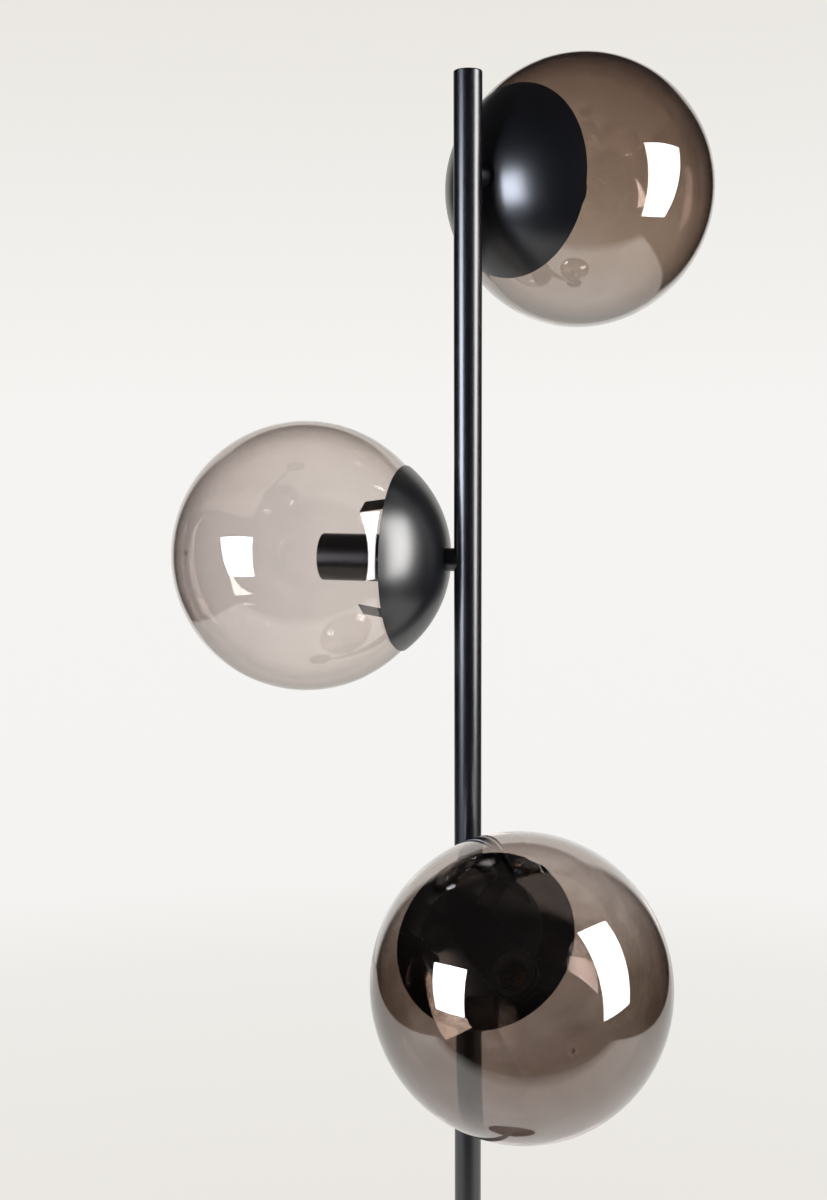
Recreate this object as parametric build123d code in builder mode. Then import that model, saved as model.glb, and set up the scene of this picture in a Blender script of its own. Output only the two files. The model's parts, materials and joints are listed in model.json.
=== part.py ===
from build123d import *
from math import acos, asin, cos, degrees, pi, radians, sin, sqrt
import os

os.makedirs("parts", exist_ok=True)

# Floor lamp with three smoked-glass globes on a black pole. Millimetres, +Z up.
# The origin is the centre of the base's underside, on the floor, and the pole stands on the Z axis.

# ---------------------------------------------------------------- driving sizes: pole and base
pole_height = 1760.0
pole_diameter = 25.0
pole_wall = 1.2
pole_joint_height = 620.0
cap_thickness = 3.0
base_diameter = 280.0
base_height = 18.0
base_wall = 1.2
skirt_gap = 1.0
cover_corner = 4.0

# ---------------------------------------------------------------- driving sizes: heads
head_names = ("top", "middle", "low")
first_azimuth = 30.0
azimuth_step = 120.0
top_head_drop = 86.0
head_pitch = 337.0
globe_diameter = 250.0
globe_reach = 154.0
glass_wall = 2.0
mouth_diameter = 116.0
cup_rim_diameter = 169.4
cup_depth = 40.0
cup_rim_reach = 58.7
cup_wall = 1.2
cup_flat_radius = 13.0
cup_edge_round = 0.5
arm_diameter = 21.0

# ---------------------------------------------------------------- driving sizes: lampholder
sleeve_diameter = 43.5
sleeve_wall = 1.25
sleeve_tip_reach = 137.0
lamp_thread_radius = 13.2
lamp_thread_length = 26.0
shell_wall = 0.5

# ---------------------------------------------------------------- driving sizes: threads and clearances
thread_gap = 0.05
hole_gap = 0.1
nipple_diameter = 10.0
nipple_bore = 7.0
stud_diameter = 13.0
stud_bore = 10.0
joint_thread_diameter = 18.0
joint_bore = 14.0

edge_break = 0.8

# ---------------------------------------------------------------- driving sizes: clips
clip_names = ("a", "b", "c")
clip_first_angle = -25.0
clip_width = 18.0
clip_thickness = 0.8
clip_centre_radius = 56.3
clip_straight = 31.0
clip_lean = 0.3
clip_tip_reach = 54.0
clip_tip_drop = 3.3
clip_bend = 3.0
plate_gap = 0.4
plate_thickness = 1.2
plate_hub_radius = 15.0

# ---------------------------------------------------------------- driving sizes: wiring
lead_diameter = 3.0
lead_offset = 5.2
lead_bend_radius = 16.0
connector_floor = 62.0
connector_length = 36.0
connector_radius = 9.0
lead_socket_depth = 8.0

# ---------------------------------------------------------------- worked out from the driving sizes
pole_radius = pole_diameter / 2
tube_bore = pole_radius - pole_wall
globe_radius = globe_diameter / 2
glass_inner = globe_radius - glass_wall
mouth_radius = mouth_diameter / 2
cup_rim_radius = cup_rim_diameter / 2
cup_radius = (cup_rim_radius**2 + cup_depth**2) / (2 * cup_depth)
cup_centre = cup_rim_reach - cup_depth + cup_radius
cup_inner = cup_radius - cup_wall
cup_flat = cup_centre - sqrt(cup_radius**2 - cup_flat_radius**2)
cup_floor = cup_flat + cup_wall
arm_radius = arm_diameter / 2
sleeve_radius = sleeve_diameter / 2
nipple_radius = nipple_diameter / 2
clear_hole = nipple_radius + hole_gap
tapped_hole = nipple_radius + thread_gap
dish_outer = cup_inner - plate_gap
dish_inner = dish_outer - plate_thickness
plate_top = cup_centre - sqrt(dish_inner**2 - cup_flat_radius**2)
sleeve_floor = cup_centre - sqrt(dish_inner**2 - sleeve_radius**2) + plate_gap
tube_top = pole_height - cap_thickness


def write(piece, label):
    """Name a finished piece and write it as its own file."""
    piece.part.label = label
    export_step(piece.part, f"parts/{label}.step")


def head_plane(number):
    """Plane on one arm's axis: x runs out from the pole's centre line, y runs up."""
    height = pole_height - top_head_drop - number * head_pitch
    turn = radians(first_azimuth + number * azimuth_step)
    outward = (cos(turn), sin(turn), 0)
    sideways = (sin(turn), -cos(turn), 0)
    return Plane(origin=(0, 0, height), x_dir=outward, z_dir=sideways)


def arm_axis(head):
    """Axis of one arm, pointing away from the pole."""
    return Axis(head.origin, head.x_dir)


def across(head, reach):
    """Plane square to the arm, a given reach from the pole's centre line, with x up."""
    return Plane(origin=head.from_local_coords((reach, 0, 0)), x_dir=head.y_dir, z_dir=head.x_dir)


def turned(head, angle):
    """The head's plane turned about the arm, so that y points at a clip."""
    line = Axis((0, 0, 0), head.x_dir)
    return Plane(origin=head.origin, x_dir=head.x_dir, z_dir=head.z_dir.rotate(line, angle))


heads = [head_plane(number) for number in range(len(head_names))]


def add_ring(plane, outer, inner, length):
    """Add a plain ring, such as a washer, to the part being built."""
    with BuildSketch(plane) as ring:
        Circle(outer)
        Circle(inner, mode=Mode.SUBTRACT)
    extrude(ring.sketch, amount=length)


# ================================================================ base
# The weight gives the tall pole its stability. It is clamped between the cover's top and a nut,
# and a closing plate with a foam pad hides it from below.

pad_thickness = 2.0
pad_radius = 131.0
plate_sheet = 1.2
plate_radius = base_diameter / 2 - base_wall - edge_break / 2
weight_radius = 137.0
weight_floor = pad_thickness + plate_sheet
weight_top = base_height - base_wall
recess_radius = 25.0
recess_ceiling = 12.0
channel_width = 15.0
channel_ceiling = 14.9
gland_height = 9.0
gland_hole = 4.5

with BuildPart() as base_pad:
    with BuildSketch(Plane.XY):
        Circle(pad_radius)
    extrude(amount=pad_thickness)
write(base_pad, "base_pad")

with BuildPart() as base_plate:
    with BuildSketch(Plane.XY.offset(pad_thickness)):
        Circle(plate_radius)
    extrude(amount=plate_sheet)
write(base_plate, "base_plate")

with BuildPart() as base_weight:
    with BuildSketch(Plane.XY.offset(weight_floor)):
        Circle(weight_radius)
    extrude(amount=weight_top - weight_floor)
    chamfer(base_weight.edges().group_by(Axis.Z)[-1], cover_corner)
    with BuildSketch(Plane.XY.offset(weight_floor)):
        Circle(recess_radius)
    extrude(amount=recess_ceiling - weight_floor, mode=Mode.SUBTRACT)
    with BuildSketch(Plane.XY.offset(weight_floor)):
        with Locations((0, weight_radius / 2 + recess_radius / 2)):
            Rectangle(channel_width, weight_radius)
    extrude(amount=channel_ceiling - weight_floor, mode=Mode.SUBTRACT)
    with Locations((0, 0, weight_top)):
        Hole(stud_diameter / 2 + hole_gap)
write(base_weight, "base_weight")

with BuildPart() as base_cover:
    with BuildSketch(Plane.XY.offset(skirt_gap)):
        Circle(base_diameter / 2)
    extrude(amount=base_height - skirt_gap)
    fillet(base_cover.edges().group_by(Axis.Z)[-1], cover_corner)
    offset(amount=-base_wall, openings=base_cover.faces().sort_by(Axis.Z)[0])
    with Locations((0, 0, base_height)):
        Hole(stud_diameter / 2 + hole_gap)
    with BuildSketch(Plane.XZ.offset(-base_diameter)):
        with Locations((0, gland_height)):
            Circle(gland_hole)
    extrude(amount=base_diameter, mode=Mode.SUBTRACT)
write(base_cover, "base_cover")

# The bush that the mains lead would pass through sits in the back of the skirt.
flange_radius = 6.5
flange_thickness = 3.0
gland_neck = gland_hole - thread_gap
barb_radius = 5.4
barb_length = 4.0
gland_bore = 3.1
gland_line = Axis((0, 0, gland_height), (0, 1, 0))
back_of_skirt = base_diameter / 2

with BuildPart() as cord_gland:
    with BuildSketch(Plane.YZ):
        with BuildLine():
            Polyline(
                (back_of_skirt + flange_thickness, gland_height + gland_bore),
                (back_of_skirt + flange_thickness, gland_height + flange_radius - edge_break),
                (back_of_skirt + flange_thickness - edge_break, gland_height + flange_radius),
                (back_of_skirt, gland_height + flange_radius),
                (back_of_skirt, gland_height + gland_neck),
                (back_of_skirt - base_wall - hole_gap, gland_height + gland_neck),
                (back_of_skirt - base_wall - hole_gap, gland_height + barb_radius),
                (back_of_skirt - base_wall - barb_length, gland_height + gland_neck),
                (back_of_skirt - base_wall - barb_length, gland_height + gland_bore),
                close=True,
            )
        make_face()
    revolve(axis=gland_line)
write(cord_gland, "cord_gland")

# ---------------------------------------------------------------- the stud that holds the pole to the base
stud_floor = weight_floor + edge_break
stud_top = 38.0
nut_height = 6.0
nut_across_flats = 19.0
washer_radius = 17.0
washer_thickness = 2.0
bush_top = 42.0
press_gap = 0.05
washer_floor = recess_ceiling - washer_thickness

with BuildPart() as base_stud:
    add_ring(Plane.XY.offset(stud_floor), stud_diameter / 2, stud_bore / 2, stud_top - stud_floor)
write(base_stud, "base_stud")

with BuildPart() as stud_washer:
    add_ring(Plane.XY.offset(washer_floor), washer_radius, stud_diameter / 2 + hole_gap, washer_thickness)
write(stud_washer, "stud_washer")

with BuildPart() as stud_nut:
    with BuildSketch(Plane.XY.offset(washer_floor - nut_height)):
        RegularPolygon(nut_across_flats / 2, 6, major_radius=False)
        Circle(stud_diameter / 2 + thread_gap, mode=Mode.SUBTRACT)
    extrude(amount=nut_height)
write(stud_nut, "stud_nut")

with BuildPart() as foot_bush:
    add_ring(
        Plane.XY.offset(base_height),
        tube_bore - press_gap,
        stud_diameter / 2 + thread_gap,
        bush_top - base_height,
    )
    chamfer(foot_bush.edges().filter_by(GeomType.CIRCLE).group_by(Axis.Z)[-1], edge_break)
write(foot_bush, "foot_bush")

# ================================================================ pole
# Two lengths of steel tube, joined by a hollow screw joint whose seam is the only mark on the outside.

spigot_tail = 40.0
spigot_thread_length = 24.0
socket_length = 32.0
cap_plug_length = 8.0
cap_round = 1.2

with BuildPart() as lower_tube:
    add_ring(Plane.XY.offset(base_height), pole_radius, tube_bore, pole_joint_height - base_height)
write(lower_tube, "lower_tube")

with BuildPart() as joint_spigot:
    add_ring(
        Plane.XY.offset(pole_joint_height - spigot_tail), tube_bore - press_gap, joint_bore / 2, spigot_tail
    )
    add_ring(
        Plane.XY.offset(pole_joint_height), joint_thread_diameter / 2, joint_bore / 2, spigot_thread_length
    )
    chamfer(joint_spigot.edges().group_by(Axis.Z)[-1].sort_by(SortBy.RADIUS)[-1], edge_break)
write(joint_spigot, "joint_spigot")

with BuildPart() as joint_socket:
    add_ring(Plane.XY.offset(pole_joint_height), tube_bore - press_gap, joint_bore / 2, socket_length)
    with BuildSketch(Plane.XY.offset(pole_joint_height)):
        Circle(joint_thread_diameter / 2 + thread_gap)
    extrude(amount=spigot_thread_length + edge_break, mode=Mode.SUBTRACT)
write(joint_socket, "joint_socket")

with BuildPart() as upper_tube:
    add_ring(Plane.XY.offset(pole_joint_height), pole_radius, tube_bore, tube_top - pole_joint_height)
    for head in heads:
        with BuildSketch(across(head, 0)):
            Circle(clear_hole)
        extrude(amount=pole_diameter, mode=Mode.SUBTRACT)
write(upper_tube, "upper_tube")

with BuildPart() as pole_cap:
    with BuildSketch(Plane.XY.offset(tube_top)):
        Circle(pole_radius)
    extrude(amount=cap_thickness)
    fillet(pole_cap.edges().group_by(Axis.Z)[-1], cap_round)
    with BuildSketch(Plane.XY.offset(tube_top)):
        Circle(tube_bore - hole_gap)
    extrude(amount=-cap_plug_length)
    chamfer(pole_cap.edges().group_by(Axis.Z)[0], edge_break)
write(pole_cap, "pole_cap")

# ================================================================ shared fixings of the three heads
# Every arm is clamped by one hollow threaded nipple: a saddle-shaped nut inside the pole, then the
# arm, the cup, the clip plate, a spacer, the sleeve, a washer and a nut.

nipple_start = 7.5
nipple_end = 72.0
saddle_start = 6.5
saddle_radius = 7.5
spacer_radius = 10.0
head_washer_radius = 9.0
head_washer_thickness = 1.2
head_nut_height = 4.0
head_nut_across_flats = 14.0
sleeve_bottom = sleeve_floor + sleeve_wall

with BuildPart() as arm_nipples:
    for head in heads:
        add_ring(across(head, nipple_start), nipple_radius, nipple_bore / 2, nipple_end - nipple_start)
write(arm_nipples, "arm_nipples")

with BuildPart() as saddle_nuts:
    for head in heads:
        add_ring(across(head, saddle_start), saddle_radius, tapped_hole, pole_radius - saddle_start)
    with BuildSketch(Plane.XY):
        Circle(tube_bore - press_gap)
    extrude(amount=pole_height, mode=Mode.INTERSECT)
write(saddle_nuts, "saddle_nuts")

with BuildPart() as head_spacers:
    for head in heads:
        add_ring(across(head, plate_top), spacer_radius, clear_hole, sleeve_floor - plate_top)
write(head_spacers, "head_spacers")

with BuildPart() as head_washers:
    for head in heads:
        add_ring(across(head, sleeve_bottom), head_washer_radius, clear_hole, head_washer_thickness)
write(head_washers, "head_washers")

with BuildPart() as head_nuts:
    for head in heads:
        with BuildSketch(across(head, sleeve_bottom + head_washer_thickness)):
            RegularPolygon(head_nut_across_flats / 2, 6, major_radius=False)
            Circle(tapped_hole, mode=Mode.SUBTRACT)
        extrude(amount=head_nut_height)
write(head_nuts, "head_nuts")

# ---------------------------------------------------------------- wiring inside the pole
# Three leads rise side by side from one connector above the stud, each to its own arm.

with BuildPart() as wire_connector:
    with BuildSketch(Plane.XY.offset(connector_floor)):
        Circle(connector_radius)
    extrude(amount=connector_length)
    fillet(wire_connector.edges().group_by(Axis.Z)[-1], edge_break)
    for head in heads:
        with BuildSketch(Plane.XY.offset(connector_floor + connector_length - lead_socket_depth)):
            with Locations(head.x_dir * -lead_offset):
                Circle(lead_diameter / 2 + hole_gap)
        extrude(amount=lead_socket_depth, mode=Mode.SUBTRACT)
    with BuildSketch(Plane.XY.offset(connector_floor)):
        Circle(gland_bore)
    extrude(amount=lead_socket_depth, mode=Mode.SUBTRACT)
write(wire_connector, "wire_connector")

# ================================================================ one head
cap_start = 64.0
cap_end = 82.0
cap_radius = 19.0
cap_shell = 2.5
body_radius = 19.5
body_setback = 3.0
body_front = sleeve_tip_reach - body_setback
well_floor = 100.0
shell_start = 105.0
contact_radius = 4.5
contact_height = 2.5
contact_taper = 20.0


def make_arm(head, name):
    """Short tube that stands the cup off the pole, with its inner end cut to the pole's curve."""
    with BuildPart() as arm:
        add_ring(across(head, 0), arm_radius, clear_hole, cup_flat)
        with BuildSketch(Plane.XY.offset(head.origin.Z - arm_diameter)):
            Circle(pole_radius + thread_gap)
        extrude(amount=2 * arm_diameter, mode=Mode.SUBTRACT)
    write(arm, f"{name}_arm")


def make_cup(head, name):
    """Spun steel cup: part of a sphere with a small flat where the arm meets it."""
    rim_turn = degrees(acos((cup_rim_reach - cup_centre) / cup_radius))
    flat_turn = 180 - degrees(asin(cup_flat_radius / cup_radius))
    inner_rim_turn = degrees(acos((cup_rim_reach - cup_centre) / cup_inner))
    inner_flat_turn = degrees(acos((cup_floor - cup_centre) / cup_inner))
    with BuildPart() as cup:
        with BuildSketch(head):
            with BuildLine():
                outside = CenterArc((cup_centre, 0), cup_radius, rim_turn, flat_turn - rim_turn)
                inner_sweep = inner_flat_turn - inner_rim_turn
                inside = CenterArc((cup_centre, 0), cup_inner, inner_rim_turn, inner_sweep)
                rim_middle = (cup_rim_reach + cup_edge_round, cup_rim_radius - cup_wall / 2)
                ThreePointArc(outside @ 0, rim_middle, inside @ 0)
                Polyline(outside @ 1, (cup_flat, clear_hole), (cup_floor, clear_hole), inside @ 1)
            make_face()
        revolve(axis=arm_axis(head))
    write(cup, f"{name}_cup")


def make_clip_plate(head, name):
    """Pressed three-armed plate that lies against the cup and carries the spring clips."""
    with BuildPart() as plate:
        with BuildSketch(head):
            with BuildLine():
                tip_radius = clip_centre_radius + clip_thickness
                outer_tip = degrees(asin(tip_radius / dish_outer))
                inner_tip = degrees(asin(tip_radius / dish_inner))
                hub_turn = degrees(asin(cup_flat_radius / dish_inner))
                below = CenterArc((cup_centre, 0), dish_outer, 180 - outer_tip, outer_tip - hub_turn)
                above = CenterArc((cup_centre, 0), dish_inner, 180 - inner_tip, inner_tip - hub_turn)
                Line(below @ 0, above @ 0)
                Polyline(
                    below @ 1,
                    (cup_floor, cup_flat_radius - plate_thickness),
                    (cup_floor, clear_hole),
                    (plate_top, clear_hole),
                    above @ 1,
                )
            make_face()
        revolve(axis=arm_axis(head))
        with BuildSketch(across(head, cup_floor)):
            Circle(plate_hub_radius)
            with PolarLocations(0, len(clip_names), start_angle=clip_first_angle):
                with Locations((mouth_radius / 2, 0)):
                    Rectangle(mouth_radius, clip_width)
        extrude(amount=cup_depth, mode=Mode.INTERSECT)
    write(plate, f"{name}_clip_plate")


def make_clips(head, name):
    """Leaf springs that stand on the plate's arms and press out on the glass globe's mouth."""
    root = cup_centre - sqrt(dish_inner**2 - (clip_centre_radius + clip_thickness / 2) ** 2) + plate_gap
    for number, letter in enumerate(clip_names):
        angle = clip_first_angle + number * 360 / len(clip_names)
        with BuildPart() as clip:
            with BuildSketch(turned(head, angle)):
                with BuildLine():
                    FilletPolyline(
                        (root, clip_centre_radius),
                        (root + clip_straight, clip_centre_radius + clip_lean),
                        (root + clip_tip_reach, clip_centre_radius - clip_tip_drop),
                        radius=clip_bend,
                    )
                trace(line_width=clip_thickness)
            extrude(amount=clip_width / 2, both=True)
        write(clip, f"{name}_clip_{letter}")


def make_socket(head, name):
    """Lampholder inside its long plain sleeve: cap, insulating body, screw shell and contact."""
    with BuildPart() as sleeve:
        add_ring(across(head, sleeve_floor), sleeve_radius, clear_hole, sleeve_tip_reach - sleeve_floor)
        with BuildSketch(across(head, sleeve_bottom)):
            Circle(sleeve_radius - sleeve_wall)
        extrude(amount=sleeve_tip_reach, mode=Mode.SUBTRACT)
    write(sleeve, f"{name}_socket_sleeve")

    with BuildPart() as cap:
        add_ring(across(head, cap_start), cap_radius, tapped_hole, cap_end - cap_start)
        with BuildSketch(across(head, nipple_end)):
            Circle(cap_radius - cap_shell)
        extrude(amount=cap_end - nipple_end, mode=Mode.SUBTRACT)
    write(cap, f"{name}_socket_cap")

    with BuildPart() as body:
        with BuildSketch(across(head, cap_end)):
            Circle(body_radius)
        extrude(amount=body_front - cap_end)
        with BuildSketch(across(head, well_floor)):
            Circle(lamp_thread_radius + shell_wall + thread_gap)
        extrude(amount=body_front - well_floor, mode=Mode.SUBTRACT)
    write(body, f"{name}_socket_body")

    with BuildPart() as shell:
        outside = lamp_thread_radius + shell_wall
        add_ring(across(head, shell_start), outside, lamp_thread_radius, lamp_thread_length)
    write(shell, f"{name}_screw_shell")

    with BuildPart() as contact:
        with BuildSketch(across(head, well_floor)):
            Circle(contact_radius)
        extrude(amount=contact_height, taper=contact_taper)
    write(contact, f"{name}_centre_contact")


def make_lead(head, name):
    """Two-core lead from the connector up the far side of the pole and through the nipple."""
    start = connector_floor + connector_length - lead_socket_depth + hole_gap - head.origin.Z
    with BuildPart() as lead:
        with BuildLine(head):
            route = FilletPolyline(
                (-lead_offset, start),
                (-lead_offset, 0),
                (cap_end, 0),
                radius=lead_bend_radius,
            )
        with BuildSketch(Plane(origin=route @ 0, z_dir=route % 0)):
            Circle(lead_diameter / 2)
        sweep()
    write(lead, f"{name}_lamp_lead")
    expected = pi * lead_diameter**2 / 4 * route.length
    print(name, "lead: bend radius", lead_bend_radius, "length", round(route.length, 1),
          "volume against section x length", round(lead.part.volume / expected, 4))


def make_globe(head, name):
    """Blown glass globe: a thin sphere with a round mouth towards the pole."""
    outer_turn = 180 - degrees(asin(mouth_radius / globe_radius))
    inner_turn = 180 - degrees(asin(mouth_radius / glass_inner))
    with BuildPart() as globe:
        with BuildSketch(head):
            with BuildLine():
                outside = CenterArc((globe_reach, 0), globe_radius, 0, outer_turn)
                inside = CenterArc((globe_reach, 0), glass_inner, 0, inner_turn)
                Line(outside @ 0, inside @ 0)
                Line(outside @ 1, inside @ 1)
            make_face()
        revolve(axis=arm_axis(head))
    write(globe, f"{name}_globe")


for head, name in zip(heads, head_names):
    make_arm(head, name)
    make_cup(head, name)
    make_clip_plate(head, name)
    make_clips(head, name)
    make_socket(head, name)
    make_lead(head, name)
    make_globe(head, name)
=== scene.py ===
# %% [markdown]
# # A floor lamp with three smoked-glass globes
#
# This lesson dresses a floor lamp whose metal and glass parts already exist as solids. The lamp is a
# black pole with three globes that stand off it on short arms, a third of a turn apart. The solids come
# in at their real size and stay where they are, so the work here is the camera, the light, the finishes
# and the one piece that a plain solid can't show. One unit is one metre and Z points up.

# %% Load the solids
import json
from math import cos, pi, radians, sin

import bmesh
import bpy
from mathutils import Matrix, Vector


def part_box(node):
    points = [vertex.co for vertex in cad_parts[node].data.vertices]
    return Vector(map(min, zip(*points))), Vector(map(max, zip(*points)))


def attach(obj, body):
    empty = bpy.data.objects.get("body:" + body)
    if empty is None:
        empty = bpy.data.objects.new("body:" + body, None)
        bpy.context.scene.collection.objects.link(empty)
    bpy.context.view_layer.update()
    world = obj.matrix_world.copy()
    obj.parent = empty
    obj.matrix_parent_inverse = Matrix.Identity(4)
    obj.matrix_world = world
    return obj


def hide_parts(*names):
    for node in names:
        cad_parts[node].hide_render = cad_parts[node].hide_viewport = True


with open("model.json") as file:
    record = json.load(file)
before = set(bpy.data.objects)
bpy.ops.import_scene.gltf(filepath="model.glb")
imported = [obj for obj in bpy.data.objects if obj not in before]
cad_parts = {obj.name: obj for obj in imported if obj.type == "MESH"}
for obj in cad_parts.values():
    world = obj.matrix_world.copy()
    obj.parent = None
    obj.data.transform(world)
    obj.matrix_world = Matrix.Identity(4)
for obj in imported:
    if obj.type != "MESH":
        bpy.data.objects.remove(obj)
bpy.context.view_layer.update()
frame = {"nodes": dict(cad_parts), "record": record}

# %% [markdown]
# ## Where the three heads are
#
# Each head has a cup, a lampholder and a globe on one level axis that points away from the pole. The
# solids know all of this, but the stain in the glass needs the globe's centre again. Each globe is cut
# open towards the pole, which makes the low globe's box shorter, so that the middle of the box is no
# longer the globe's centre. Only the direction and the height are read from the box, therefore, and the
# globe's reach from the pole is a number of its own.

# %% Find each globe's centre and direction
HEADS = ("top", "middle", "low")
GLOBE_REACH = 0.154

outward = {}
globe_centre = {}
for name in HEADS:
    low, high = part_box(f"{name}_globe")
    box_middle = (low + high) / 2
    outward[name] = Vector((box_middle.x, box_middle.y, 0)).normalized()
    globe_centre[name] = outward[name] * GLOBE_REACH + Vector((0, 0, box_middle.z))
    print(name, "globe at", [round(v, 3) for v in globe_centre[name]])

# %% [markdown]
# ## The camera
#
# A camera can be placed by hand until the picture looks right, but a measured place keeps every edge
# where it should be. This one stands between the heights of the top and the middle globe, a good metre
# from the pole, and looks a little down. The three axes of a camera are its right, its up and its back,
# and together with its place they make one matrix. The sensor's size is measured along the picture's
# height, because the picture is taller than it is wide, and for that size the lens is close to normal.

# %% Place the camera
CAMERA_PLACE = Vector((-0.3512, -1.1862, 1.4719))
LOOK = Vector((0.2432, 0.9603, -0.1371)).normalized()
ROLL = 0.0054
SENSOR = 36.0
LENS = 41.34


def camera_axes(look, roll):
    """Right and up of a camera that looks along a direction."""
    level = look.cross(Vector((0, 0, 1))).normalized()
    down = look.cross(level)
    right = level * cos(roll) + down * sin(roll)
    return right, right.cross(look)


right, up = camera_axes(LOOK, ROLL)
camera = bpy.data.objects.new("camera", bpy.data.cameras.new("camera"))
camera.data.sensor_fit = "VERTICAL"
camera.data.sensor_height = SENSOR
camera.data.lens = LENS
turned = Matrix((right, up, -LOOK)).transposed()
camera.matrix_world = Matrix.Translation(CAMERA_PLACE) @ turned.to_4x4()
bpy.context.scene.collection.objects.link(camera)
bpy.context.scene.camera = camera
bpy.context.scene.view_settings.view_transform = "Standard"
print("camera at", [round(v, 3) for v in CAMERA_PLACE], "with a lens of", LENS, "mm")

# %% [markdown]
# ## Small helpers for node trees
#
# Materials here are node trees. Building one by hand in the editor means adding a node, setting its
# numbers and joining its sockets, so the helpers below do just those three things. Most colours are
# written the way a screen shows them, from 0 to 255, and turned into the linear values of a shader.

# %% Helpers: colours, nodes and links


def seen(red, green, blue):
    """Linear colour from the 0 to 255 values that a screen shows."""
    def linear(value):
        value /= 255
        return value / 12.92 if value <= 0.04045 else ((value + 0.055) / 1.055) ** 2.4
    return (linear(red), linear(green), linear(blue), 1.0)


def join(tree, value, socket):
    """Link an output socket to an input, or set the input to a plain value."""
    if isinstance(value, bpy.types.NodeSocket):
        tree.links.new(value, socket)
    else:
        socket.default_value = value


def add(tree, kind, inputs=None, **settings):
    """Add a node, with settings such as operation= and inputs as {socket: value or output socket}."""
    node = tree.nodes.new(kind)
    for key, value in settings.items():
        setattr(node, key, value)
    for key, value in (inputs or {}).items():
        join(tree, value, node.inputs[key])
    return node


def finish_named(name):
    """An empty node material: its tree and its output node."""
    material = bpy.data.materials.new(name)
    material.use_nodes = True
    material.node_tree.nodes.clear()
    return material, material.node_tree, add(material.node_tree, "ShaderNodeOutputMaterial")


print("helpers for nodes ready")

# %% [markdown]
# ## Helpers for the nodes that come up most
#
# A few kinds of node are needed again and again: sums, vectors, noise, a number spread over a new range,
# a mix of two colours and a ramp of several. Each gets one short function that adds the node and hands
# back its result, so that a chain of nodes reads like a formula.

# %% Helpers: one function for each common node
SMOOTH = {"interpolation_type": "SMOOTHSTEP"}


def maths(tree, operation, a, b=0.0, c=0.0):
    """One Math node and its result."""
    return add(tree, "ShaderNodeMath", {0: a, 1: b, 2: c}, operation=operation).outputs[0]


def vectors(tree, operation, a, b=(0, 0, 0), result=0):
    """One Vector Math node and one of its results."""
    return add(tree, "ShaderNodeVectorMath", {0: a, 1: b}, operation=operation).outputs[result]


def noise(tree, place, scale, detail, **more):
    """One Noise Texture and its value."""
    inputs = {"Vector": place, "Scale": scale, "Detail": detail, **more}
    return add(tree, "ShaderNodeTexNoise", inputs).outputs["Fac"]


def spread(tree, value, start, end, low=0.0, high=1.0, **settings):
    """One Map Range node: its result is low where value is start, and high where it is end."""
    inputs = {"Value": value, 1: start, 2: end, 3: low, 4: high}
    return add(tree, "ShaderNodeMapRange", inputs, **settings).outputs[0]


def mixed(tree, factor, a, b):
    """One Mix node for colours and its result."""
    node = add(tree, "ShaderNodeMix", data_type="RGBA")
    for key, value in (("Factor", factor), ("A", a), ("B", b)):
        join(tree, value, next(s for s in node.inputs if s.name == key and s.enabled))
    return next(s for s in node.outputs if s.enabled)


def ramp(tree, factor, stops):
    """A Color Ramp with (position, colour) stops."""
    node = add(tree, "ShaderNodeValToRGB", {"Fac": factor})
    elements = node.color_ramp.elements
    while len(elements) < len(stops):
        elements.new(0.5)
    for element, (position, colour) in zip(elements, stops):
        element.position = position
        element.color = colour
    return node.outputs["Color"]


def along_level(tree, split, x_share, y_share, operation="ADD"):
    """How far a place or direction lies along a level line, from its X and Y."""
    return maths(tree, operation, maths(tree, "MULTIPLY", split.outputs["X"], x_share),
                 maths(tree, "MULTIPLY", split.outputs["Y"], y_share))


def has_met(tree, path, depth):
    """1 for rays with this kind of bounce behind them, such as Glossy Depth, and 0 for the rest."""
    return maths(tree, "GREATER_THAN", path.outputs[depth], 0.5)


print("helpers for common nodes ready")

# %% [markdown]
# ## From a bmesh to an object
#
# The panels, the floor and the foam pad are all made the same way. A bmesh is Blender's editable mesh,
# and once its faces are there it is written to a plain mesh, which gets a material and an object.

# %% Helper: finish a mesh


def object_from(name, shape, material):
    """Write a finished bmesh to a new object in the scene, with one material."""
    mesh = bpy.data.meshes.new(name)
    shape.to_mesh(mesh)
    shape.free()
    mesh.materials.append(material)
    made = bpy.data.objects.new(name, mesh)
    bpy.context.scene.collection.objects.link(made)
    return made


print("helper for meshes ready")

# %% [markdown]
# ## The studio around the lamp
#
# Polished glass and satin paint show the room as much as themselves. The studio for this lamp is a pale
# paper sweep behind and under it and two large softboxes, a cool one on the left and a neutral one on
# the right, in a room that is otherwise dark. An image of a room could be wrapped around the scene, but
# a few lines of nodes do the same and stay sharp. The world shows the paper to the camera and through
# the glass. Rays that have been reflected see the paper only ahead of the camera and below its top
# edge, and rays that light a matt surface see an even grey, which keeps the light soft and plain. The
# colours go by how steeply a ray climbs or falls. A shift brings the range near the horizon onto the
# ramp, and steeper rays take the colour at the ramp's end.

# %% World: paper for the camera, a room for reflections
AMBIENT = 0.70
HEIGHT_SHIFT = 0.6
JUST_OVER_ONE = 1.0001
PAPER_SIDES = (0.81, 0.87)
PAPER_TOP = (0.50, 0.42)
PAPER = [(0.08, seen(234, 231, 226)), (0.22, seen(238, 236, 232)), (0.27, seen(244, 243, 241)),
         (0.60, seen(245, 244, 242)), (0.74, seen(240, 238, 234)), (0.87, seen(234, 231, 226))]
ROOM = [(0.0, seen(26, 23, 22)), (0.55, seen(24, 21, 20)), (0.75, seen(32, 30, 30)), (1.0, seen(46, 44, 44))]

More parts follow.
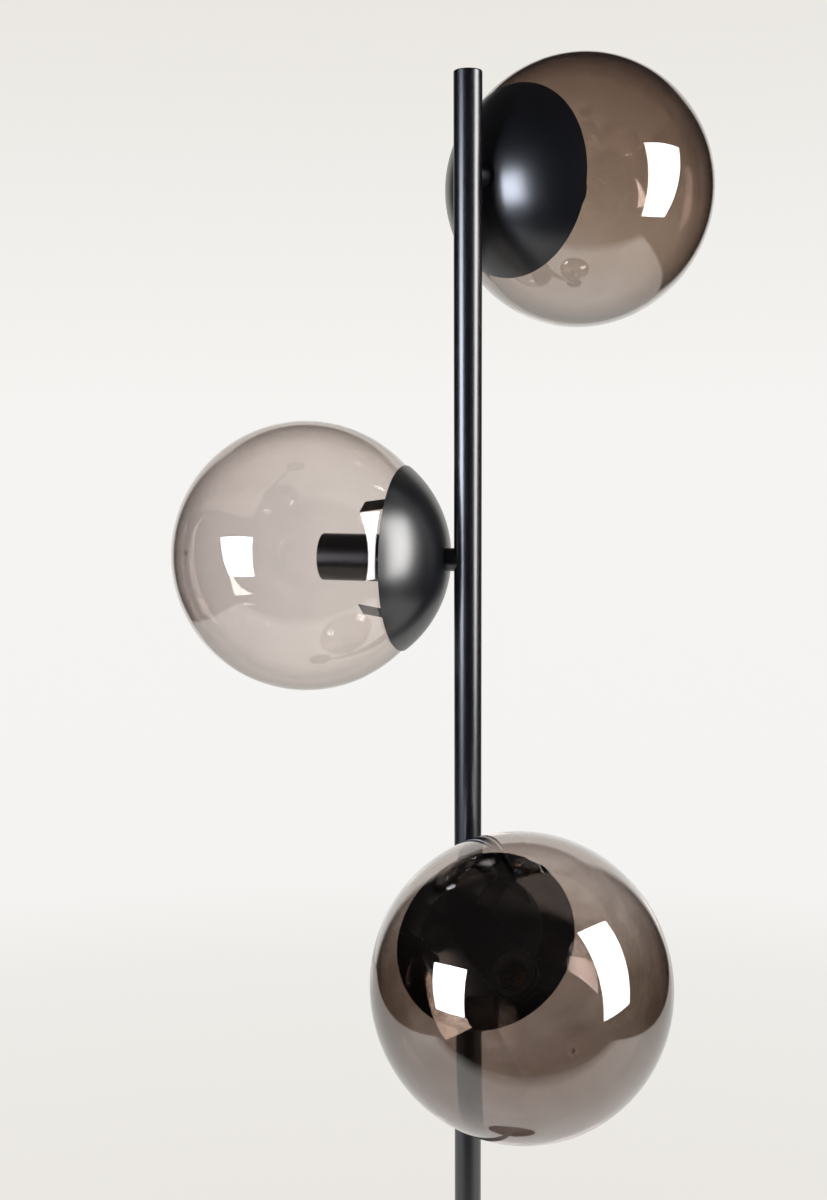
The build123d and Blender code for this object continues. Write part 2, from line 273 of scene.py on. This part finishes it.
world = bpy.data.worlds.new("studio")
bpy.context.scene.world = world
world.use_nodes = True
tree = world.node_tree
tree.nodes.clear()
direction = add(tree, "ShaderNodeTexCoord").outputs["Generated"]
split = add(tree, "ShaderNodeSeparateXYZ", {0: direction})
height = maths(tree, "MULTIPLY_ADD", split.outputs["Z"], 1.0, HEIGHT_SHIFT)
paper = ramp(tree, height, PAPER)
room = ramp(tree, height, ROOM)
height_squared = maths(tree, "POWER", split.outputs["Z"], 2.0)
level = maths(tree, "SQRT", maths(tree, "SUBTRACT", JUST_OVER_ONE, height_squared))
ahead = maths(tree, "DIVIDE", along_level(tree, split, LOOK.x, LOOK.y), level)
in_front = spread(tree, ahead, *PAPER_SIDES)
below_top = spread(tree, split.outputs["Z"], *PAPER_TOP)
room_with_paper = mixed(tree, maths(tree, "MULTIPLY", in_front, below_top), room, paper)
path = add(tree, "ShaderNodeLightPath")
colour = mixed(tree, has_met(tree, path, "Glossy Depth"), paper, room_with_paper)
colour = mixed(tree, has_met(tree, path, "Diffuse Depth"), colour, (AMBIENT, AMBIENT, AMBIENT, 1))
background = add(tree, "ShaderNodeBackground", {"Color": colour, "Strength": 1.0})
add(tree, "ShaderNodeOutputWorld", {"Surface": background.outputs[0]})
print("world nodes:", len(tree.nodes))

# %% [markdown]
# ## Softboxes
#
# Each softbox is two things. A soft lamp lights the matt surfaces, and a bright panel of about the same
# place and size is what glass and paint mirror. Keeping the two apart means the panel can be as bright
# as a real softbox, while the light on the object stays at a plain level. A panel is one flat face,
# clear to every ray that hasn't been reflected, so it never shows in the picture itself.

# %% How a panel and a lamp are made
PANEL_MIDDLE = (0.5, 0.5, 0.0)
PANEL_DIMMING = 0.6
PANEL_UV = ((0, 1), (1, 1), (1, 0), (0, 0))


def panel_finish(name, colour, strength):
    """Light that only reflected rays meet, a little brighter in its middle."""
    material, tree, output = finish_named(name)
    path = add(tree, "ShaderNodeLightPath")
    mirrored = has_met(tree, path, "Glossy Depth")
    unscattered = maths(tree, "LESS_THAN", path.outputs["Diffuse Depth"], 0.5)
    place = add(tree, "ShaderNodeTexCoord").outputs["UV"]
    away = vectors(tree, "DISTANCE", place, PANEL_MIDDLE, "Value")
    dim = maths(tree, "MULTIPLY_ADD", maths(tree, "POWER", away, 2.0), -PANEL_DIMMING, 1.0)
    shining = maths(tree, "MULTIPLY", dim, strength)
    glow = add(tree, "ShaderNodeEmission", {"Color": colour, "Strength": shining})
    clear = add(tree, "ShaderNodeBsdfTransparent")
    shown = maths(tree, "MULTIPLY", mirrored, unscattered)
    mix = add(tree, "ShaderNodeMixShader", {0: shown, 1: clear.outputs[0], 2: glow.outputs[0]})
    tree.links.new(mix.outputs[0], output.inputs["Surface"])
    material.cycles.emission_sampling = "NONE"
    return material


def panel(name, corners, material):
    """A flat panel from its four corners, top left first and then around."""
    shape = bmesh.new()
    face = shape.faces.new([shape.verts.new(corner) for corner in corners])
    uv = shape.loops.layers.uv.new("panel")
    for loop, at in zip(face.loops, PANEL_UV):
        loop[uv].uv = at
    made = object_from(name, shape, material)
    made.visible_shadow = False


def soft_lamp(name, centre, aim, size, power, colour):
    """A soft area lamp that lights matt surfaces but isn't mirrored."""
    data = bpy.data.lights.new(name, "AREA")
    data.shape = "RECTANGLE"
    data.size, data.size_y = size
    data.energy, data.color = power, colour
    lamp = bpy.data.objects.new(name, data)
    lamp.location = centre
    lamp.rotation_euler = (Vector(aim) - Vector(centre)).to_track_quat("-Z", "Y").to_euler()
    bpy.context.scene.collection.objects.link(lamp)
    lamp.visible_camera = lamp.visible_glossy = lamp.visible_transmission = False


print("softbox helpers ready")

# %% [markdown]
# ## Set up the two softboxes
#
# The right softbox stands nearer to the pole than the left one, so the left lamp has more power. Both
# lamps aim at the pole, at about the height of the middle globe. Each lamp has its panel's place and
# size, while the panel's four corners also say how it is turned.

# %% Place the panels and the lamps
AIM = (0, 0, 1.3)
RIGHT_CORNERS = [(0.985, -1.111, 2.464), (2.082, -0.522, 2.559),
                 (2.774, -1.508, 0.672), (1.678, -2.097, 0.577)]
LEFT_CORNERS = [(-2.973, -0.056, 2.052), (-2.038, -1.198, 2.112),
                (-2.819, -1.910, 0.718), (-3.754, -0.768, 0.658)]
RIGHT_GLOW, LEFT_GLOW = 13.5, 19.0
NEUTRAL, COOL, FAINTLY_COOL = (1.0, 0.985, 0.97), (0.80, 0.86, 1.0), (0.86, 0.92, 1.0)
RIGHT_LAMP = {"centre": (1.88, -1.31, 1.57), "size": (1.25, 2.24), "power": 34, "colour": NEUTRAL}
LEFT_LAMP = {"centre": (-2.90, -0.98, 1.39), "size": (1.48, 1.75), "power": 44, "colour": FAINTLY_COOL}

panel("right_softbox", RIGHT_CORNERS, panel_finish("right_softbox_light", (*NEUTRAL, 1.0), RIGHT_GLOW))
panel("left_softbox", LEFT_CORNERS, panel_finish("left_softbox_light", (*COOL, 1.0), LEFT_GLOW))
soft_lamp("right_lamp", aim=AIM, **RIGHT_LAMP)
soft_lamp("left_lamp", aim=AIM, **LEFT_LAMP)
print("two softboxes, each a panel and a lamp")

# %% [markdown]
# ## The floor
#
# The lamp stands on the same pale paper that rises behind it. A plain white plane would show a hard far
# edge from other sides, so this floor fades into the world's paper colour within about a metre of the
# pole. It keeps the lamp's soft shadow near the foot. In the mirrored room the paper ends in front of the
# lamp and at its sides, as a real sheet would, and those edges are soft.

# %% Lay the floor
FLOOR_HALF = 3.2
FLOOR_CELLS = 24
FLOOR_FADE = (0.45, 1.05)
SHEET_FRONT = (-1.37, -0.92)
SHEET_SIDE = (2.3, 2.15)
VIEW_LINE = (0.2454, 0.9694)
FIBRE_SCALE, FIBRE_STRENGTH, FIBRE_DEPTH = 420.0, 0.05, 0.0004
TONE_SCALE = 1.4

material, tree, output = finish_named("paper_floor")
place = add(tree, "ShaderNodeTexCoord").outputs["Object"]
fibres = noise(tree, place, FIBRE_SCALE, 3.0)
bump = add(tree, "ShaderNodeBump", {"Height": fibres, "Strength": FIBRE_STRENGTH, "Distance": FIBRE_DEPTH})
pale = mixed(tree, noise(tree, place, TONE_SCALE, 2.0), seen(236, 234, 230), seen(241, 239, 236))
matt = add(tree, "ShaderNodeBsdfDiffuse", {"Color": pale, "Normal": bump.outputs[0]})
fade = spread(tree, vectors(tree, "LENGTH", place, result="Value"), *FLOOR_FADE, 1.0, 0.0, **SMOOTH)
split = add(tree, "ShaderNodeSeparateXYZ", {0: place})
forward = along_level(tree, split, *VIEW_LINE)
sideways = along_level(tree, split, VIEW_LINE[1], VIEW_LINE[0], "SUBTRACT")
near_edge = spread(tree, forward, *SHEET_FRONT)
side_edge = spread(tree, maths(tree, "ABSOLUTE", sideways), *SHEET_SIDE)
sheet = maths(tree, "MULTIPLY", near_edge, side_edge)
path = add(tree, "ShaderNodeLightPath")
mirrored = has_met(tree, path, "Glossy Depth")
shown = add(tree, "ShaderNodeMix", {0: mirrored, 2: fade, 3: sheet}).outputs[0]
clear = add(tree, "ShaderNodeBsdfTransparent")
mix = add(tree, "ShaderNodeMixShader", {0: shown, 1: clear.outputs[0], 2: matt.outputs[0]})
tree.links.new(mix.outputs[0], output.inputs["Surface"])

shape = bmesh.new()
bmesh.ops.create_grid(shape, x_segments=FLOOR_CELLS, y_segments=FLOOR_CELLS, size=FLOOR_HALF)
floor = object_from("paper_floor", shape, material)
print("floor fades out between", FLOOR_FADE[0], "and", FLOOR_FADE[1], "m from the pole")

# %% [markdown]
# ## Effects that several finishes share
#
# Paint, plating and rubber differ in colour and gloss, but all of them have a skin that isn't perfectly
# even, and all of them gather a little dust. Writing that once as a node group with its own sockets keeps
# every material short. The group gives a height for the bump, a slow patchiness for the gloss and a mask
# for dust, which lies mostly on faces that look up.

# %% Node group: the skin of a finish
FLOAT, COLOUR, VECTOR = "NodeSocketFloat", "NodeSocketColor", "NodeSocketVector"
SPECK_SCALE = 260.0
SPECK_RANGE = (0.42, 0.72)
DUST_LIES = (0.1, 1.0)
DUST_ON_SIDES = 0.12


def new_group(name, inputs, outputs):
    """An empty shader group with its sockets, its input node and its output node."""
    group = bpy.data.node_groups.new(name, "ShaderNodeTree")
    for label, kind, value in inputs:
        socket = group.interface.new_socket(label, in_out="INPUT", socket_type=kind)
        socket.default_value = value
    for label, kind in outputs:
        group.interface.new_socket(label, in_out="OUTPUT", socket_type=kind)
    return group, add(group, "NodeGroupInput").outputs, add(group, "NodeGroupOutput").inputs


skin_group, given, result = new_group(
    "skin",
    [("Grain Scale", FLOAT, 900.0), ("Patch Scale", FLOAT, 14.0), ("Dust", FLOAT, 0.1)],
    [("Height", FLOAT), ("Patches", FLOAT), ("Dust", FLOAT)])
place = add(skin_group, "ShaderNodeTexCoord").outputs["Object"]
grain = noise(skin_group, place, given["Grain Scale"], 2.0)
patches = noise(skin_group, place, given["Patch Scale"], 4.0, Roughness=0.6)
specks = noise(skin_group, place, SPECK_SCALE, 6.0, Roughness=0.8)
normal = add(skin_group, "ShaderNodeNewGeometry").outputs["Normal"]
facing_up = add(skin_group, "ShaderNodeSeparateXYZ", {0: normal}).outputs["Z"]
lying = spread(skin_group, facing_up, *DUST_LIES, DUST_ON_SIDES, 1.0)
speckled = spread(skin_group, specks, *SPECK_RANGE)
dust = maths(skin_group, "MULTIPLY", maths(skin_group, "MULTIPLY", lying, speckled), given["Dust"])
for label, value in (("Height", grain), ("Patches", patches), ("Dust", dust)):
    skin_group.links.new(value, result[label])
print("skin group with", len(skin_group.nodes), "nodes")

# %% [markdown]
# ## One recipe for the opaque finishes
#
# Every opaque finish then reads the same way: a base colour that two close tones share, dust over it, a
# gloss that varies a little, and a fine bump. The numbers that don't change over the surface, such as
# metal or specular level, are set on the shader's own sockets.

# %% The recipe
DUST_COLOUR = seen(150, 146, 140)
DUST_ROUGHENS = 0.3
PATCH_RANGE = (0.3, 0.7)


def opaque_finish(name, dark, light, gloss, grain_scale, bump_depth, patch_scale, dust, sockets):
    """A Principled finish from two tones, a low and a high roughness, and the skin group."""
    material, tree, output = finish_named(name)
    skin = add(tree, "ShaderNodeGroup", node_tree=skin_group)
    for label, value in (("Grain Scale", grain_scale), ("Patch Scale", patch_scale), ("Dust", dust)):
        skin.inputs[label].default_value = value
    tone = mixed(tree, skin.outputs["Patches"], seen(*dark), seen(*light))
    dusty = mixed(tree, skin.outputs["Dust"], tone, DUST_COLOUR)
    rough = spread(tree, skin.outputs["Patches"], *PATCH_RANGE, *gloss)
    rougher = maths(tree, "MULTIPLY_ADD", skin.outputs["Dust"], DUST_ROUGHENS, rough)
    bump = add(tree, "ShaderNodeBump",
               {"Height": skin.outputs["Height"], "Strength": 1.0, "Distance": bump_depth})
    shader = add(tree, "ShaderNodeBsdfPrincipled",
                 {"Base Color": dusty, "Roughness": rougher, "Normal": bump.outputs[0], **sockets})
    tree.links.new(shader.outputs[0], output.inputs["Surface"])
    return material


print("recipe ready")

# %% [markdown]
# ## The nine opaque finishes
#
# The paint is a smooth satin black with a hint of blue. It reflects more strongly than plain paint, so
# that the softboxes draw clear lines on the pole. The clips and their plates are dark spring steel. The
# fasteners and the base's closing plate are zinc-plated, the lampholders' contacts are brass, their
# bodies and the wire connector are moulded in black, and the weight is cast iron.
# Each row gives two tones, a low and a high roughness, the grain's scale and depth in metres, the
# scale of the patches, the amount of dust, and anything else for the shader's sockets.

# %% Make the finishes
FINISHES = {
    "black_paint": ((2, 3, 7), (3, 4, 9), (0.285, 0.30), 1400.0, 0.000002, 14.0, 0.002,
                    {"Specular IOR Level": 0.9}),
    "spring_steel": ((16, 15, 15), (34, 32, 30), (0.32, 0.45), 900.0, 0.00001, 60.0, 0.05, {}),
    "zinc_steel": ((176, 178, 182), (205, 206, 208), (0.26, 0.40), 500.0, 0.00001, 90.0, 0.05,
                   {"Metallic": 1.0}),
    "brass": ((196, 158, 92), (222, 188, 120), (0.2, 0.34), 600.0, 0.00001, 60.0, 0.05, {"Metallic": 1.0}),
    "phenolic": ((20, 20, 20), (30, 29, 28), (0.34, 0.44), 700.0, 0.00001, 20.0, 0.08, {}),
    "cast_iron": ((58, 57, 56), (92, 90, 86), (0.6, 0.8), 300.0, 0.0003, 30.0, 0.1, {"Metallic": 0.6}),
    "eva_foam": ((38, 38, 38), (52, 52, 51), (0.85, 0.95), 1200.0, 0.0001, 30.0, 0.1, {}),
    "gland_rubber": ((26, 26, 26), (36, 36, 35), (0.6, 0.72), 800.0, 0.00002, 30.0, 0.12, {}),
    "lead_insulation": ((196, 196, 190), (214, 213, 208), (0.4, 0.5), 500.0, 0.00001, 30.0, 0.03, {}),
}
finishes = {name: opaque_finish(name, *recipe) for name, recipe in FINISHES.items()}
print("opaque finishes:", ", ".join(finishes))

# %% [markdown]
# ## Smoked glass
#
# A smoked globe gets its colour in two ways. The glass itself is a light brownish grey, which darkens the
# edge of the globe, where the eye looks along the wall. A volume that absorbs light does this part.
# Over it lies a smoky stain, which is never even: on these globes it gathers on one side and thins out on
# the other. The stain is on the surface, so the shader's base colour carries it. The group below works
# out where a point of the wall lies along a chosen direction and blends three tints by that. Slow clouds
# push the blend about, so that no tint ends in a clean line.

# %% Node group: a stain that thins out along one direction
STAIN_ENDS = (-0.95, 0.95)
CLOUD_SCALE, CLOUD_PUSH = 16.0, 0.8
SMUDGE_RANGE, SMUDGE_ROUGHNESS = (0.5, 0.75), 0.012
WHITE = (1, 1, 1, 1)

stain_group, given, result = new_group(
    "uneven_stain",
    [("Centre", VECTOR, (0, 0, 0)), ("Direction", VECTOR, (0, 0, 1)), ("Turn", FLOAT, 0.0),
     ("Near End", COLOUR, WHITE), ("Middle", COLOUR, WHITE), ("Far End", COLOUR, WHITE)],
    [("Stain", COLOUR), ("Smudges", FLOAT)])
place = add(stain_group, "ShaderNodeTexCoord").outputs["Object"]
unit = vectors(stain_group, "NORMALIZE", vectors(stain_group, "SUBTRACT", place, given["Centre"]))
along = vectors(stain_group, "DOT_PRODUCT", unit, given["Direction"], "Value")
clouds = noise(stain_group, place, CLOUD_SCALE, 4.0, Distortion=0.8)
drift = maths(stain_group, "MULTIPLY_ADD", clouds, CLOUD_PUSH, -CLOUD_PUSH / 2)
along = maths(stain_group, "ADD", along, drift)
near_half = spread(stain_group, along, STAIN_ENDS[0], given["Turn"], **SMOOTH)
far_half = spread(stain_group, along, given["Turn"], STAIN_ENDS[1], **SMOOTH)
stain = mixed(stain_group, near_half, given["Near End"], given["Middle"])
stain = mixed(stain_group, far_half, stain, given["Far End"])
smudges = spread(stain_group, clouds, *SMUDGE_RANGE, 0.0, SMUDGE_ROUGHNESS)
stain_group.links.new(stain, result["Stain"])
stain_group.links.new(smudges, result["Smudges"])
print("stain group with", len(stain_group.nodes), "nodes")

# %% [markdown]
# ## Glass for each head
#
# The three globes are the same glass, but the smoke lies differently on each. The top one is darkest
# towards its upper side, the middle one is nearly clear, and the low one has a dark belt and a lighter
# top. Each row gives the stain's direction and turning point, its tints from the near end to the far
# end, the share of the mirror film, how far the edge darkens and the tint of the shadow. The film lies on
# the outside and mirrors a little more than bare glass. The wall is thin, so the grey inside it darkens
# the edge only a little, and the tint is darkened further where the surface is seen at a slant. The
# shadow is a plain tint, because light through real glass would take far longer to work out.

# %% Make the glass
UP = Vector((0, 0, 1))
UPPER_SIDE = Vector((0.35, -0.1, 0.93)).normalized()
STAINS = {
    "top": {"direction": UPPER_SIDE, "turn": 0.0,
            "tints": ((0.80, 0.78, 0.76, 1), (0.69, 0.615, 0.55, 1), (0.47, 0.40, 0.355, 1)),
            "film": 0.35, "edge": 0.9, "shade": (0.5, 0.42, 0.36, 1)},
    "middle": {"direction": outward["middle"], "turn": 0.0,
               "tints": (WHITE, WHITE, (0.84, 0.83, 0.84, 1)),
               "film": 0.12, "edge": 0.5, "shade": (0.8, 0.75, 0.72, 1)},
    "low": {"direction": UP, "turn": -0.2,
            "tints": ((0.70, 0.66, 0.66, 1), (0.40, 0.34, 0.296, 1), (1.0, 0.98, 0.97, 1)),
            "film": 0.45, "edge": 0.6, "shade": (0.38, 0.3, 0.26, 1)},
}
GLASS_IOR = 1.5
FILM_IOR = 2.3
EDGE_TINT = (0.03, 0.02, 0.02, 1)
EDGE_RANGE = (0.42, 0.92)
GREY_DENSITY = 95.0
GREY_PASSED = (0.453, 0.179, 0.0, 1)


def smoked_glass(name):
    """Glass that is grey in its wall, stained on its surface and darker at its edge."""
    row = STAINS[name]
    material, tree, output = finish_named(f"smoked_glass_{name}")
    stain = add(tree, "ShaderNodeGroup", node_tree=stain_group)
    stain.inputs["Centre"].default_value = globe_centre[name]
    stain.inputs["Direction"].default_value = row["direction"]
    stain.inputs["Turn"].default_value = row["turn"]
    for label, tint in zip(("Near End", "Middle", "Far End"), row["tints"]):
        stain.inputs[label].default_value = tint
    facing = add(tree, "ShaderNodeLayerWeight", {"Blend": 0.5}).outputs["Facing"]
    edge = spread(tree, facing, *EDGE_RANGE, 0.0, row["edge"])
    tinted = mixed(tree, edge, stain.outputs["Stain"], EDGE_TINT)
    glass = add(tree, "ShaderNodeBsdfPrincipled",
                {"Base Color": tinted, "Roughness": stain.outputs["Smudges"], "IOR": GLASS_IOR,
                 "Transmission Weight": 1.0, "Coat Weight": row["film"], "Coat IOR": FILM_IOR,
                 "Coat Roughness": 0.0})
    clear = add(tree, "ShaderNodeBsdfTransparent", {"Color": row["shade"]})
    shadow = add(tree, "ShaderNodeLightPath").outputs["Is Shadow Ray"]
    mix = add(tree, "ShaderNodeMixShader", {0: shadow, 1: glass.outputs[0], 2: clear.outputs[0]})
    grey = add(tree, "ShaderNodeVolumeAbsorption", {"Color": GREY_PASSED, "Density": GREY_DENSITY})
    tree.links.new(mix.outputs[0], output.inputs["Surface"])
    tree.links.new(grey.outputs[0], output.inputs["Volume"])
    return material


glass_of = {name: smoked_glass(name) for name in HEADS}
print("glass:", ", ".join(m.name for m in glass_of.values()))

# %% [markdown]
# ## Give every solid its finish
#
# The record that comes with the solids names a finish for each of them, so one loop can hand them out.
# The globes are the exception, because each has its own stain.

# %% Assign the finishes
finish_of = {part["node"]: part["material_slot"] for part in frame["record"]["subparts"]}
for name, solid in frame["nodes"].items():
    wanted = glass_of[name.split("_")[0]] if name.endswith("_globe") else finishes[finish_of[name]]
    solid.data.materials.clear()
    solid.data.materials.append(wanted)
print("finishes on", len(frame["nodes"]), "solids")

# %% [markdown]
# ## The foam pad under the base
#
# The lamp stands on a thin foam pad that keeps it from scratching the floor. As a solid it is a disc with
# sharp edges, but die-cut foam has a soft rim, and the weight of the lamp presses its underside flat. A
# disc could be beveled by hand. Here a short outline is spun round the Z axis instead, since that gives
# even faces all the way round, and the outline holds the rounded rim and the slight dip of the top.

# %% Spin the pad
PAD_STEPS = 96
RIM_ANGLES = range(15, 180, 15)
SHOULDER_REACH, SHOULDER_DIP, MIDDLE_DIP = 0.9, 0.04, 0.06
WELD_DISTANCE = 0.00001

low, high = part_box("base_pad")
pad_radius, pad_height = high.x, high.z - low.z
rim = pad_height / 2
rim_start = pad_radius - rim
pad_outline = [(0.0, low.z), (rim_start, low.z)]
for angle in RIM_ANGLES:
    turn = radians(angle)
    pad_outline.append((rim_start + rim * sin(turn), low.z + rim - rim * cos(turn)))
pad_outline += [(rim_start, high.z), (pad_radius * SHOULDER_REACH, high.z - pad_height * SHOULDER_DIP),
                (0.0, high.z - pad_height * MIDDLE_DIP)]

shape = bmesh.new()
line = [shape.verts.new((r, 0.0, z)) for r, z in pad_outline]
edges = [shape.edges.new(pair) for pair in zip(line, line[1:])]
bmesh.ops.spin(shape, geom=line + edges, cent=(0, 0, 0), axis=(0, 0, 1), angle=2 * pi, steps=PAD_STEPS)
bmesh.ops.remove_doubles(shape, verts=shape.verts, dist=WELD_DISTANCE)
bmesh.ops.recalc_face_normals(shape, faces=shape.faces)
for face in shape.faces:
    face.smooth = True
pad = object_from("soft_base_pad", shape, finishes["eva_foam"])
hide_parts("base_pad")
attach(pad, "stand")
print("foam pad with", len(pad.data.polygons), "faces")
